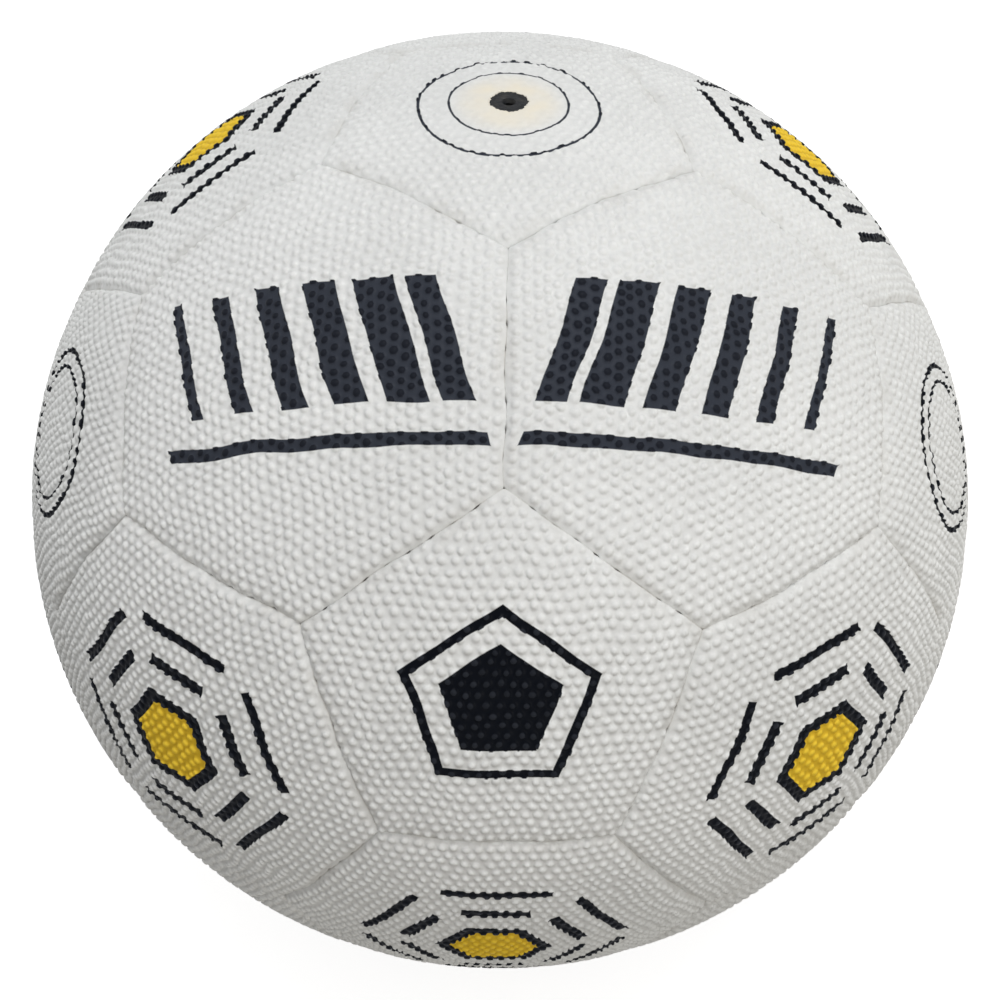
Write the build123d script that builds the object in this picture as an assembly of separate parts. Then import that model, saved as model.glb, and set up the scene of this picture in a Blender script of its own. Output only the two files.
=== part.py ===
"""A hand-sewn netball: pentagon and hexagon panels of pimpled rubber, each on a fabric lining,
sewn rim to rim over a bladder with a needle valve.

Millimetres. The origin is the ball's centre and +Z is the valve's axis, pointing out of the ball.
"""

import math
import os

from build123d import *

# Driving sizes
BALL_CIRCUMFERENCE = 700.0
COVER_THICKNESS = 1.2
LINING_THICKNESS = 0.9
GLUE_LINE = 0.15
SEAM_GAP = 0.2
SEAM_EDGE_ROUND = 1.5
SEAM_CORNER_EXTRA = 0.6
RIM_DEPTH = 2.4

STITCHES_PER_SEAM = 8
STITCH_END_MARGIN = 6.0
STITCH_DROP = 0.8
THREAD_DIAMETER = 0.8
THREAD_HOLE_CLEARANCE = 0.2
THREAD_LIFT = 0.2
THREAD_SIDES = 6
THREAD_TAIL = 1.6

BLADDER_WALL = 0.6
BLADDER_CLEARANCE = 0.3

VALVE_NECK_DIAMETER = 7.6
VALVE_HOLE_CLEARANCE = 0.3
VALVE_SINK = 0.35
VALVE_FLANGE_DIAMETER = 28.0
VALVE_STEM_DIAMETER = 9.6
VALVE_STEM_LENGTH = 12.0
INSERT_HEAD_DIAMETER = 6.0
INSERT_HEAD_THICKNESS = 1.6
INSERT_BODY_DIAMETER = 4.6
INSERT_CLEARANCE = 0.05
INSERT_TIP_CHAMFER = 0.6
NEEDLE_BORE_DIAMETER = 1.8
NEEDLE_BORE_LENGTH = 9.0
NEEDLE_FUNNEL_DIAMETER = 2.8
NEEDLE_FUNNEL_DEPTH = 0.8
SLIT_WIDTH = 2.2
SLIT_GAP = 0.1

# Radii of the layers, from the outside in
BALL_RADIUS = BALL_CIRCUMFERENCE / (2 * math.pi)
COVER_INNER = BALL_RADIUS - COVER_THICKNESS
LINING_OUTER = COVER_INNER - GLUE_LINE
LINING_INNER = LINING_OUTER - LINING_THICKNESS
RIM_END = LINING_INNER - RIM_DEPTH
BLADDER_OUTER = RIM_END - BLADDER_CLEARANCE
BLADDER_INNER = BLADDER_OUTER - BLADDER_WALL
STITCH_RADIUS = LINING_INNER - STITCH_DROP

# Heights on the valve's axis
VALVE_TOP = BALL_RADIUS - VALVE_SINK
VALVE_BOTTOM = BLADDER_INNER - VALVE_STEM_LENGTH
HEAD_SEAT = VALVE_TOP - INSERT_HEAD_THICKNESS

# Offsets of the turned-in rims from the middle plane of a seam
COVER_RIM = SEAM_GAP / 2
COVER_RIM_INNER = COVER_RIM + COVER_THICKNESS
LINING_RIM = COVER_RIM_INNER + GLUE_LINE
LINING_RIM_INNER = LINING_RIM + LINING_THICKNESS
THREAD_RADIUS = THREAD_DIAMETER / 2
THREAD_OFFSET = LINING_RIM_INNER + THREAD_RADIUS + THREAD_LIFT

# Directions of a truncated icosahedron with a pentagon at +Z and another towards -Y
FRONT_AZIMUTH = -90.0
FIFTH_TURN = 72.0
PENTAGON_POLAR = math.degrees(math.atan(2))
TOP_HEXAGON_POLAR = math.degrees(math.acos(math.sqrt((5 + 2 * math.sqrt(5)) / 15)))
UPPER_HEXAGON_POLAR = math.degrees(math.acos(math.sqrt((5 - 2 * math.sqrt(5)) / 15)))
# An edge of the solid seen from its centre: its circumradius is this many edge lengths
CIRCUMRADIUS_PER_EDGE = math.sqrt(58 + 18 * math.sqrt(5)) / 4
EDGE_HALF_ANGLE = math.asin(0.5 / CIRCUMRADIUS_PER_EDGE)
# Angle in radians within which two directions count as the same
SAME_ANGLE = 0.01
# Height of a panel's cutting pyramid, in ball radii
PYRAMID_REACH = 1.2


def direction(polar, azimuth):
    """Unit vector at these angles in degrees, polar from +Z and azimuth from +X."""
    p, a = math.radians(polar), math.radians(azimuth)
    return Vector(math.sin(p) * math.cos(a), math.sin(p) * math.sin(a), math.cos(p))


def ring(name, polar, azimuth):
    """Five named panel directions, a fifth of a turn apart."""
    return {f"{name}_{i + 1}": direction(polar, azimuth + FIFTH_TURN * i) for i in range(5)}


def panel_directions():
    """The middle of each pentagon and of each hexagon, by the panel's name."""
    between = FRONT_AZIMUTH + FIFTH_TURN / 2
    pentagons = {"valve_pentagon": Vector(0, 0, 1)}
    pentagons |= ring("upper_pentagon", PENTAGON_POLAR, FRONT_AZIMUTH)
    pentagons |= ring("lower_pentagon", 180 - PENTAGON_POLAR, between)
    pentagons |= {"base_pentagon": Vector(0, 0, -1)}
    hexagons = ring("top_hexagon", TOP_HEXAGON_POLAR, between)
    hexagons |= ring("upper_hexagon", UPPER_HEXAGON_POLAR, between)
    hexagons |= ring("lower_hexagon", 180 - UPPER_HEXAGON_POLAR, FRONT_AZIMUTH)
    hexagons |= ring("bottom_hexagon", 180 - TOP_HEXAGON_POLAR, FRONT_AZIMUTH)
    return pentagons, hexagons


def nearest(middle, others):
    """The direction among others that is nearest to middle, and is not middle itself."""
    return max((o for o in others if (o - middle).length > SAME_ANGLE), key=middle.dot)


def panel_place(middle, neighbour):
    """Location that takes +Z to a panel's middle and +X towards the edge shared with neighbour."""
    across = neighbour - middle * middle.dot(neighbour)
    return Location(Plane(origin=(0, 0, 0), x_dir=across, z_dir=middle))


def edge_tilt(sides):
    """Angle in radians from a panel's middle to the middle of each of its edges."""
    corner = math.asin(0.5 / math.sin(math.pi / sides) / CIRCUMRADIUS_PER_EDGE)
    return math.atan(math.tan(corner) * math.cos(math.pi / sides))


def ball(radius):
    """A sphere about the origin, with its poles on Y and its seam at -Z, away from the panels."""
    return Rot(0, 90, 0) * Rot(90, 0, 0) * Sphere(radius)


def pyramid(sides, offset):
    """A regular pyramid about +Z, past the ball, whose sides lie offset inside the seams' planes."""
    tilt = edge_tilt(sides)
    apex_height = offset / math.sin(tilt)
    top = PYRAMID_REACH * BALL_RADIUS
    corner_radius = (top - apex_height) * math.tan(tilt) / math.cos(math.pi / sides)
    apex = Vector(0, 0, apex_height)
    turns = [2 * math.pi * (k + 0.5) / sides for k in range(sides)]
    corners = [Vector(corner_radius * math.cos(a), corner_radius * math.sin(a), top) for a in turns]
    faces = [Face(Wire.make_polygon(corners))]
    for k in range(sides):
        faces.append(Face(Wire.make_polygon([apex, corners[k], corners[(k + 1) % sides]])))
    return Solid(Shell(faces))


def layer_block(sides, outer, rim):
    """A panel's outline between an outer radius and the end of its turned-in rim."""
    return (ball(outer) - ball(RIM_END)) & pyramid(sides, rim)


def layer_hollow(sides, inner, rim):
    """The space inside a panel layer, between its turned-in rims."""
    return ball(inner) & pyramid(sides, rim)


def stitch_angles():
    """Angles along a seam of its stitch holes, in radians from the seam's middle."""
    reach = EDGE_HALF_ANGLE - STITCH_END_MARGIN / BALL_RADIUS
    step = 2 * reach / (STITCHES_PER_SEAM - 1)
    return [step * i - reach for i in range(STITCHES_PER_SEAM)]


def stitch_holes(sides):
    """Cylinders through the rims of one panel, square to each seam."""
    tilt = edge_tilt(sides)
    radius = THREAD_RADIUS + THREAD_HOLE_CLEARANCE
    length = 2 * (LINING_RIM_INNER + THREAD_LIFT)
    drill = Rot(0, 90, 0) * Cylinder(radius, length)
    along_seam = [Rot(math.degrees(a), 0, 0) * Pos(0, 0, STITCH_RADIUS) * drill for a in stitch_angles()]
    seam = Rot(0, math.degrees(tilt), 0)
    return [Rot(0, 0, 360 * k / sides) * seam * hole for k in range(sides) for hole in along_seam]


def rounded(block):
    """Rounds a cover's corners, then its lip along the seams."""
    block = fillet(block.edges().filter_by(GeomType.LINE), SEAM_EDGE_ROUND + SEAM_CORNER_EXTRA)
    crown = max(block.faces().filter_by(GeomType.SPHERE), key=lambda face: face.center().length)
    return fillet(crown.outer_wire().edges(), SEAM_EDGE_ROUND)


def cover_and_lining(sides):
    """The rubber cover and the fabric lining of a panel, about +Z."""
    holes = stitch_holes(sides)
    cover = rounded(layer_block(sides, BALL_RADIUS, COVER_RIM))
    cover -= layer_hollow(sides, COVER_INNER, COVER_RIM_INNER)
    lining = layer_block(sides, LINING_OUTER, LINING_RIM)
    lining -= layer_hollow(sides, LINING_INNER, LINING_RIM_INNER)
    return cover - holes, lining - holes


def seam_thread():
    """The faceted thread of one seam, in and out of its holes. The seam runs along Y, over +Z."""
    points = []
    side = 1
    angles = stitch_angles()
    rows = [Vector(0, -STITCH_RADIUS * math.sin(a), STITCH_RADIUS * math.cos(a)) for a in angles]
    first_way = (rows[0] - rows[1]).normalized()
    last_way = (rows[-1] - rows[-2]).normalized()
    points.append(rows[0] + first_way * THREAD_TAIL + Vector(THREAD_OFFSET, 0, 0))
    for row in rows:
        points.append(row + Vector(side * THREAD_OFFSET, 0, 0))
        points.append(row - Vector(side * THREAD_OFFSET, 0, 0))
        side = -side
    points.append(rows[-1] + last_way * THREAD_TAIL + Vector(side * THREAD_OFFSET, 0, 0))
    path = Polyline(*points)
    section = Plane(origin=path @ 0, z_dir=path % 0) * RegularPolygon(THREAD_RADIUS, THREAD_SIDES)
    return sweep(section, path=path, transition=Transition.RIGHT)


def seams(pentagons, hexagons):
    """A location for each seam between two hexagons, and for each between a pentagon and a hexagon."""
    middles = list(pentagons.values()) + list(hexagons.values())
    between = {"hexagon": [], "pentagon": []}
    reach = {"hexagon": 2 * edge_tilt(6), "pentagon": edge_tilt(5) + edge_tilt(6)}
    for i, first in enumerate(middles):
        for second in middles[i + 1 :]:
            kind = "pentagon" if i < len(pentagons) else "hexagon"
            if abs(math.acos(max(-1.0, first.dot(second))) - reach[kind]) > SAME_ANGLE:
                continue
            to_seam = edge_tilt(5) if kind == "pentagon" else edge_tilt(6)
            over = first * math.sin(reach[kind] - to_seam) + second * math.sin(to_seam)
            between[kind].append(Location(Plane(origin=(0, 0, 0), x_dir=second - first, z_dir=over)))
    return between


def upright(diameter, low, high):
    """A cylinder on the valve's axis between two heights."""
    return Pos(0, 0, low) * Cylinder(diameter / 2, high - low, align=(Align.CENTER, Align.CENTER, Align.MIN))


def bladder():
    """The inflated bladder, open where the valve's stem goes in."""
    stem_hole = upright(VALVE_STEM_DIAMETER + 2 * GLUE_LINE, 0, BALL_RADIUS)
    return ball(BLADDER_OUTER) - ball(BLADDER_INNER) - stem_hole


def valve_boot():
    """The rubber boot: a flange between bladder and lining, a neck out to the cover and a stem inside."""
    layer = ball(LINING_INNER - GLUE_LINE) - ball(BLADDER_OUTER + GLUE_LINE)
    flange = layer & upright(VALVE_FLANGE_DIAMETER, 0, BALL_RADIUS)
    flange_middle = (LINING_INNER + BLADDER_OUTER) / 2
    neck = upright(VALVE_NECK_DIAMETER, flange_middle, VALVE_TOP)
    stem = upright(VALVE_STEM_DIAMETER, VALVE_BOTTOM, flange_middle)
    bore = upright(INSERT_BODY_DIAMETER, VALVE_BOTTOM, VALVE_TOP)
    seat = upright(INSERT_HEAD_DIAMETER, HEAD_SEAT, VALVE_TOP)
    return flange + neck + stem - bore - seat


def valve_insert():
    """The plug in the boot, with a needle guide from outside and a slit that shuts behind the needle."""
    head = upright(INSERT_HEAD_DIAMETER - 2 * INSERT_CLEARANCE, HEAD_SEAT + INSERT_CLEARANCE, VALVE_TOP)
    body = upright(INSERT_BODY_DIAMETER - 2 * INSERT_CLEARANCE, VALVE_BOTTOM, VALVE_TOP)
    tip = body.edges().sort_by(Axis.Z)[0]
    plug = head + chamfer(tip, INSERT_TIP_CHAMFER)
    guide_top = VALVE_TOP - NEEDLE_FUNNEL_DEPTH
    guide_bottom = guide_top - NEEDLE_BORE_LENGTH
    guide = upright(NEEDLE_BORE_DIAMETER, guide_bottom, VALVE_TOP)
    funnel = Pos(0, 0, VALVE_TOP - NEEDLE_FUNNEL_DEPTH / 2) * Cone(
        NEEDLE_BORE_DIAMETER / 2, NEEDLE_FUNNEL_DIAMETER / 2, NEEDLE_FUNNEL_DEPTH
    )
    slit_middle = (VALVE_BOTTOM + guide_bottom) / 2
    slit = Pos(0, 0, slit_middle) * Box(SLIT_WIDTH, SLIT_GAP, guide_bottom - VALVE_BOTTOM)
    return plug - guide - funnel - slit


def write(name, *solids):
    """Writes a node of one or more separate solids."""
    shape = solids[0] if len(solids) == 1 else Compound(children=list(solids))
    export_step(shape, f"parts/{name}.step")


def main():
    os.makedirs("parts", exist_ok=True)
    pentagons, hexagons = panel_directions()
    middles = list(pentagons.values()) + list(hexagons.values())
    valve_hole = upright(VALVE_NECK_DIAMETER + 2 * VALVE_HOLE_CLEARANCE, 0, 2 * BALL_RADIUS)
    for kind, panels, sides in (("pentagon", pentagons, 5), ("hexagon", hexagons, 6)):
        cover, lining = cover_and_lining(sides)
        linings = []
        for name, middle in panels.items():
            place = panel_place(middle, nearest(middle, middles))
            bored = name == "valve_pentagon"
            write(f"{name}_cover", place * (cover - valve_hole if bored else cover))
            linings.append(place * (lining - valve_hole if bored else lining))
        write(f"{kind}_linings", *linings)
    thread = seam_thread()
    for kind, places in seams(pentagons, hexagons).items():
        write(f"{kind}_seam_threads", *[place * thread for place in places])
    write("bladder", bladder())
    write("valve_boot", valve_boot())
    write("valve_insert", valve_insert())


main()
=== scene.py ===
"""Netball looks: a sewn ball of pimpled rubber panels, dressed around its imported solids.

Laid out as an add-on and run as a script. Metres, in the solids' frame: the origin is the ball's
centre and +Z is the valve's axis, out of the ball.
"""

import math
from typing import NamedTuple

import bpy
import numpy as np
from bpy.props import FloatProperty, FloatVectorProperty, IntProperty, PointerProperty
from mathutils import Matrix, Vector
from mathutils.geometry import delaunay_2d_cdt


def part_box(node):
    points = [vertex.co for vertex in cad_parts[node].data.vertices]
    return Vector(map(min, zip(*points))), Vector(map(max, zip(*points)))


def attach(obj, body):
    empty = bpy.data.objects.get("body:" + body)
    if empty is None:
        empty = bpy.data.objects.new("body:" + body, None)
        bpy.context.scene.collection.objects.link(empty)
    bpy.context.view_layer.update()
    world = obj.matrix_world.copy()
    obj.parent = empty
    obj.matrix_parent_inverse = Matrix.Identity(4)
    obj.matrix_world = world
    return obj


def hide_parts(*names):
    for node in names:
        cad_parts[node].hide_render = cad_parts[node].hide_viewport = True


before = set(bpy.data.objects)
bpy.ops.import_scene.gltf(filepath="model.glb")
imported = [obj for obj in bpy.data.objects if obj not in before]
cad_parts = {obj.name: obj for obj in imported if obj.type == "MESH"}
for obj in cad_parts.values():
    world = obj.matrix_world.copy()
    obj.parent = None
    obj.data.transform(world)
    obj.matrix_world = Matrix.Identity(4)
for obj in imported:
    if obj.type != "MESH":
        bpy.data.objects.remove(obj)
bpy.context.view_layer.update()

bl_info = {
    "name": "Netball",
    "version": (1, 0, 0),
    "blender": (4, 5, 0),
    "location": "View3D > Sidebar > Netball",
    "description": "Builds the pimpled panels, seams, valve and print of a netball",
    "category": "Add Mesh",
}

BALL_RADIUS = -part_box("base_pentagon_cover")[0].z
MM = 0.001

# Angles of a truncated icosahedron, whose circumradius is this many edge lengths
CIRCUMRADIUS_PER_EDGE = math.sqrt(58 + 18 * math.sqrt(5)) / 4
EDGE_HALF_ANGLE = math.asin(0.5 / CIRCUMRADIUS_PER_EDGE)
FRONT_AZIMUTH = -90.0
FIFTH_TURN = 72.0
PENTAGON_POLAR = math.degrees(math.atan(2))
TOP_HEXAGON_POLAR = math.degrees(math.acos(math.sqrt((5 + 2 * math.sqrt(5)) / 15)))
UPPER_HEXAGON_POLAR = math.degrees(math.acos(math.sqrt((5 - 2 * math.sqrt(5)) / 15)))

# The map of each panel's flat plan, and half the plan's width in it
BAKE_MAP = "OFBake"
PLAN_HALF = 52 * MM
# Where the plan of a panel's inside lies in that map, and how far it is shrunk
INSIDE_PLACE = np.array([47 * MM, 47 * MM])
INSIDE_SCALE = 0.08
RANDOM_SEED = 32
PENTAGON_SEED = 100
NEAR_POLE = 0.999
BISECTIONS = 40

# A pimple's grid points by their distance in pitches, where they are drawn to in its radii, and how high
PIMPLE_GRID = (0.0, 1 / 6, math.sqrt(3) / 6, 1 / 3)
PIMPLE_REACH = (0.0, 0.68, 0.92, 1.0)
PIMPLE_HEIGHT = (1.0, 0.92, 0.36, 0.0)
# Least and greatest shares of the set width and height, and the share of the pitch that a pimple stays in
PIMPLE_WIDTHS = (0.84, 1.04)
PIMPLE_HEIGHTS = (0.75, 1.0)
PIMPLE_ROOM = 0.92
# Share of a pimple's height that lies under the solids' surface
PIMPLE_SINK = 0.25
# Waves by which rows wander, across and up: their share, and how they run along the plan's axes
ROW_WAVES = (((1.0, (0.0, 1.0)), (0.6, (1.7, 0.6))), ((1.0, (1.0, 0.0)), (0.6, (-0.7, 1.6))))
# Waves by which the sewing drifts along each axis: their share, how they run along the axes, and their start
SEAM_WAVES = (
    ((1.0, (0.0, 1.0, 0.6), 0.0), (0.7, (-0.8, 0.0, 1.7), 1.0)),
    ((1.0, (0.5, 0.0, 1.0), 2.0), (0.7, (1.6, 0.9, 0.0), 0.5)),
    ((1.0, (1.0, -0.6, 0.0), 4.0), (0.7, (0.0, 1.8, -0.7), 3.0)),
)
# Distances from a seam over which rows begin to wander, and pimples become round and rise
WANDER_ROOM = (1 * MM, 7 * MM)
ROUND_ROOM = (0.4 * MM, 1.4 * MM)
RISE_ROOM = (0 * MM, 0.45 * MM)
# The same around the valve: from its middle, and from a distance outside the hole's edge
VALVE_WANDER = (6 * MM, 14 * MM)
VALVE_ROUND = (0 * MM, 2 * MM)
VALVE_RISE = (0 * MM, 6 * MM)
VALVE_MARGIN = 1 * MM
# From the valve's middle, where the pimples rise from their worn share to the whole
VALVE_WORN = (11 * MM, 22 * MM)
WORN_SHARE = 0.35
# How fast the pull of the stitches varies around the ball, along each axis
STITCH_UNEVENNESS = (123.0, 201.0, 159.0)
# How fast the tightness of the seams varies around the ball, along each axis
SEAM_UNEVENNESS = (11.0, 17.0, 14.0)
# Mean tightness of a seam and how far it swings, and the least pull of a stitch
SEAM_TIGHTNESS = (0.75, 0.25)
STITCH_LEAST = 0.2
# Distances in mm from the seam of the rings along a panel's edge
EDGE_ROOMS = (0.3, 0.15, 0.03, 0.0)
# Where rings lie down the rim and over the inside, as shares, and the grid's margin in mesh steps
RIM_SHARES = (0.25, 1.0)
INSIDE_SHARES = (1.0, 0.8, 0.6, 0.4, 0.2, 0.0)
GRID_MARGIN = 0.6
# How far outside the valve's hole the inside's last ring and the grid lie
HOLE_LIP = 0.4 * MM
HOLE_MARGIN = 0.8 * MM
# Waves of the ragged hole: how many there are around it, their start, and their share
HOLE_WAVES = ((4, 0.4, 0.35), (9, 2.0, 0.3), (16, 1.1, 0.25), (27, 0.2, 0.2))
# Rings up through the valve's hole: out from its edge, down from the surface, and out in the plan, in mm
HOLE_RINGS = (
    (0.35, 0.36, -0.9),
    (0.05, 0.32, -0.6),
    (0.0, 0.24, -0.4),
    (0.1, 0.14, -0.1),
    (0.35, 0.08, 0.35),
)

# Panels that carry slanted bars: the side the bars thin towards, and the print's turn in degrees
BAR_PANELS = {
    "top_hexagon_1": (1, -30),
    "top_hexagon_5": (-1, 30),
    "bottom_hexagon_4": (1, 30),
    "bottom_hexagon_3": (-1, -30),
}
# Sizes of the marks in mm; a band is given by its middle and half its width
BAR_PITCH = 10.5
BAR_SLANT = 0.32
BAR_HALF_WIDTH = 2.6
BAR_TAPER = 0.062
BAR_ENDS = (-1.5, 31.5)
BAR_ROW = (4.5, 12.0)
BAR_LINE = (-14.0, 1.25)
HEXAGON_YELLOW = 8.5
HEXAGON_OUTLINE = (9.3, 1.3)
# The broken hexagons: each one's band, and how far its strokes reach along a side
HEXAGON_STROKES = (((17.5, 1.25), 7.0), ((25.0, 1.1), 11.0))
ALONG_PER_SLANT = 1.155
PENTAGON_SOLID = 9.5
PENTAGON_OUTLINE = (14.5, 0.9)
RINGS = ((17.5, 0.6), (14.0, 0.4))
VALVE_RINGS = ((17.75, 0.34), (11.75, 0.28))
# How far a print's edge follows the pimples, and how much gloss the ink has
PRINT_WAVER = 0.12
RING_WAVER = 0.16
PRINT_COAT = 0.06

# Lights: the setting with the watts, width and place in metres, and colour
WHITE = (1.0, 1.0, 1.0)
WARM = (1.0, 0.955, 0.87)
LIGHTS = {
    "key_light": ("key_power", 0.6, (0.1, -0.15, 1.25), WHITE),
    "fill_light": ("fill_power", 0.7, (0.75, -1.3, 0.3), WARM),
    "left_light": ("rim_power", 0.8, (-1.3, 0.6, 0.15), WHITE),
    "right_light": ("rim_power", 0.8, (1.3, 0.7, 0.1), WARM),
}
# The floor: its width, its depth under the solids in pimple heights, its glow, and the colour it throws back
FLOOR_WIDTH = 40.0
FLOOR_DEPTH = 0.7
FLOOR_GLOW = 0.76
FLOOR_BOUNCE = (0.085, 0.072, 0.054)
NEAR_CLIP = 0.01


def tint(red, green, blue):
    """A linear colour from the eight-bit values that a screen shows."""
    values = [v / 255 for v in (red, green, blue)]
    return [v / 12.92 if v <= 0.04045 else ((v + 0.055) / 1.055) ** 2.4 for v in values]


def length(name, description, millimetres):
    """A length property whose default is given in millimetres."""
    return FloatProperty(
        name=name, description=description, default=millimetres * MM, unit="LENGTH", precision=5
    )


def colour(name, description, red, green, blue):
    """A colour property whose default is given in eight-bit values."""
    return FloatVectorProperty(
        name=name, description=description, default=tint(red, green, blue), subtype="COLOR", min=0, max=1
    )


class NetballSizes(bpy.types.PropertyGroup):
    """Sizes of what the solids leave plain."""

    pimple_pitch: length("Pimple pitch", "Distance between the middles of two pimples", 2.35)
    pimple_diameter: length("Pimple diameter", "Width of a pimple at its foot", 1.7)
    pimple_height: length("Pimple height", "Height of a pimple over the rubber between", 0.5)
    pimple_jitter: length("Pimple jitter", "How far a pimple lies off its row", 0.27)
    row_waver: length("Row waver", "How far the rows of pimples waver", 0.42)
    row_waver_length: length("Row waver length", "Distance between two waves of a row", 17.0)
    pimple_steps: IntProperty(name="Pimple steps", description="Mesh steps in a pitch", default=6, min=6)
    groove_width: length("Groove width", "From a seam to where a panel begins to fall into it", 1.9)
    groove_depth: length("Groove depth", "How far a panel's edge falls into the seam", 0.6)
    corner_round: length("Corner round", "Radius of a panel's corners", 0.35)
    pillow_drop: length("Pillow drop", "How far a panel's edge lies under its middle", 0.42)
    pillow_width: length("Pillow width", "How far the fall to a panel's edge reaches", 2.5)
    seam_gap: length("Seam gap", "Half of the gap between two panels", 0.004)
    seam_waver: length("Seam waver", "How far the sewing drifts", 0.3)
    seam_waver_length: length("Seam waver length", "Distance between two drifts of the sewing", 19.0)
    stitch_gap: length("Stitch gap", "How far a stitch draws a panel's edge back", 0.15)
    stitch_dip: length("Stitch dip", "How far a stitch draws a panel's edge in", 0.3)
    stitch_reach: length("Stitch reach", "How far from the seam a stitch still draws the panel in", 1.3)
    stitch_mark: length("Stitch mark", "Half the length of the mark that a stitch makes", 0.55)
    stitch_slant: length("Stitch slant", "How far a stitch is shifted on each side of its seam", 0.12)
    stitch_end_margin: length("Stitch end margin", "From a seam's end to its first stitch", 6.0)
    stitches: IntProperty(name="Stitches", description="Stitches in a seam", default=8, min=2)
    cover_thickness: length("Cover thickness", "Thickness of the pimpled rubber", 1.2)
    rim_depth: length("Rim depth", "How far a panel's rim is turned in", 4.6)
    valve_hole: length("Valve hole", "Radius of the hole around the valve's end", 3.72)
    valve_hole_waver: length("Valve hole waver", "How ragged the hole around the valve is", 0.3)


class NetballColours(bpy.types.PropertyGroup):
    """Colours of the rubber, print, fabric and stage."""

    # The rubber's two colours: lighter on the pimples' tops and darker between them, as painted light and
    # shade
    rubber: colour("Rubber", "Tops of the pimples", 234, 235, 234)
    shaded_valley: colour("Valley", "Rubber between the pimples", 229, 230, 229)
    dirt: colour("Dirt", "What gathers in the seams", 160, 150, 134)
    stain: colour("Stain", "Dried glue around the valve", 237, 229, 210)
    # The black ink is painted lighter on the pimples' crowns than between them, as a painted highlight
    ink: colour("Ink", "Black print on the pimples", 40, 43, 50)
    ink_valley: colour("Ink valley", "Black print between the pimples", 3, 6, 14)
    # Faded print with a painted sheen: lighter between the pimples, as a painted reflection of the overhead
    # light, and darker on them
    faded_ink_with_sheen: colour("Faded ink", "Faded print on the pimples", 28, 31, 39)
    faded_valley_with_sheen: colour("Faded ink valley", "Faded print between the pimples", 52, 56, 65)
    # The yellow is painted darker between the pimples than on their tops, as painted shade
    yellow: colour("Yellow", "Yellow print on the pimples", 242, 206, 66)
    shaded_yellow_valley: colour("Yellow valley", "Yellow print between the pimples", 224, 186, 54)
    valve: colour("Valve", "Moulded rubber of the valve", 14, 16, 20)
    bladder: colour("Bladder", "Butyl rubber of the bladder", 38, 38, 40)
    lining: colour("Lining", "Woven cloth under the rubber", 214, 206, 188)
    thread: colour("Thread", "Waxed thread in the seams", 222, 216, 200)
    floor: colour("Floor", "The pale floor", 203, 203, 203)


class NetballStage(bpy.types.PropertyGroup):
    """Camera and light."""

    distance: FloatProperty(
        name="Camera distance", description="In ball radii, from the ball's centre", default=3.188
    )
    elevation: FloatProperty(
        name="Elevation", description="Camera's height", default=math.radians(45.6), subtype="ANGLE"
    )
    azimuth: FloatProperty(
        name="Azimuth", description="Camera's turn", default=math.radians(-0.47), subtype="ANGLE"
    )
    roll: FloatProperty(
        name="Roll", description="Camera's roll", default=math.radians(1.28), subtype="ANGLE"
    )
    lens: FloatProperty(name="Lens", description="Focal length in millimetres", default=50.9)
    key_power: FloatProperty(name="Key light", description="Watts of the light overhead", default=6.2)
    surround: FloatProperty(name="Surround", description="Strength of the light all around", default=0.51)
    fill_power: FloatProperty(name="Fill light", description="Watts of the light in front", default=4.7)
    rim_power: FloatProperty(name="Rim lights", description="Watts of each light behind", default=3.2)


# Where the panels lie


def direction(polar, azimuth):
    """Unit vector at these angles in degrees, polar from +Z and azimuth from +X."""
    p, a = math.radians(polar), math.radians(azimuth)
    return Vector((math.sin(p) * math.cos(a), math.sin(p) * math.sin(a), math.cos(p)))


def ring(name, polar, azimuth):
    """Five named panel directions, a fifth of a turn apart."""
    return {f"{name}_{i + 1}": direction(polar, azimuth + FIFTH_TURN * i) for i in range(5)}


def panel_directions():
    """The middle of each pentagon and of each hexagon, by the panel's name."""
    between = FRONT_AZIMUTH + FIFTH_TURN / 2
    pentagons = {"valve_pentagon": Vector((0, 0, 1))}
    pentagons |= ring("upper_pentagon", PENTAGON_POLAR, FRONT_AZIMUTH)
    pentagons |= ring("lower_pentagon", 180 - PENTAGON_POLAR, between)
    pentagons |= {"base_pentagon": Vector((0, 0, -1))}
    hexagons = ring("top_hexagon", TOP_HEXAGON_POLAR, between)
    hexagons |= ring("upper_hexagon", UPPER_HEXAGON_POLAR, between)
    hexagons |= ring("lower_hexagon", 180 - UPPER_HEXAGON_POLAR, FRONT_AZIMUTH)
    hexagons |= ring("bottom_hexagon", 180 - TOP_HEXAGON_POLAR, FRONT_AZIMUTH)
    return pentagons, hexagons


def panel_axes(middle, upside_down):
    """Matrix from a panel's own frame, middle on +Z and an edge towards +Y, to the ball's."""
    north = Vector((0, 0, 1))
    if abs(middle.z) > NEAR_POLE:
        north = Vector((0, middle.z, 0))
    up = (north - middle * middle.dot(north)).normalized()
    if upside_down:
        up = -up
    return np.array([up.cross(middle), up, middle]).T


# The shape that all panels of one kind share


def edge_tilt(sides):
    """Angles from a panel's middle to the middle of an edge and to a corner."""
    corner = math.asin(0.5 / math.sin(math.pi / sides) / CIRCUMRADIUS_PER_EDGE)
    return math.atan(math.tan(corner) * math.cos(math.pi / sides)), corner


def edge_azimuths(sides):
    """Azimuths of the middles of a panel's edges, the first towards +Y."""
    return math.pi / 2 + 2 * math.pi * np.arange(sides) / sides


def edge_normals(sides):
    """Unit normals, pointing into the panel, of the planes through the ball's centre and each edge."""
    tilt = edge_tilt(sides)[0]
    a = edge_azimuths(sides)
    return np.column_stack(
        [-math.cos(tilt) * np.cos(a), -math.cos(tilt) * np.sin(a), np.full(sides, math.sin(tilt))]
    )


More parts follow.
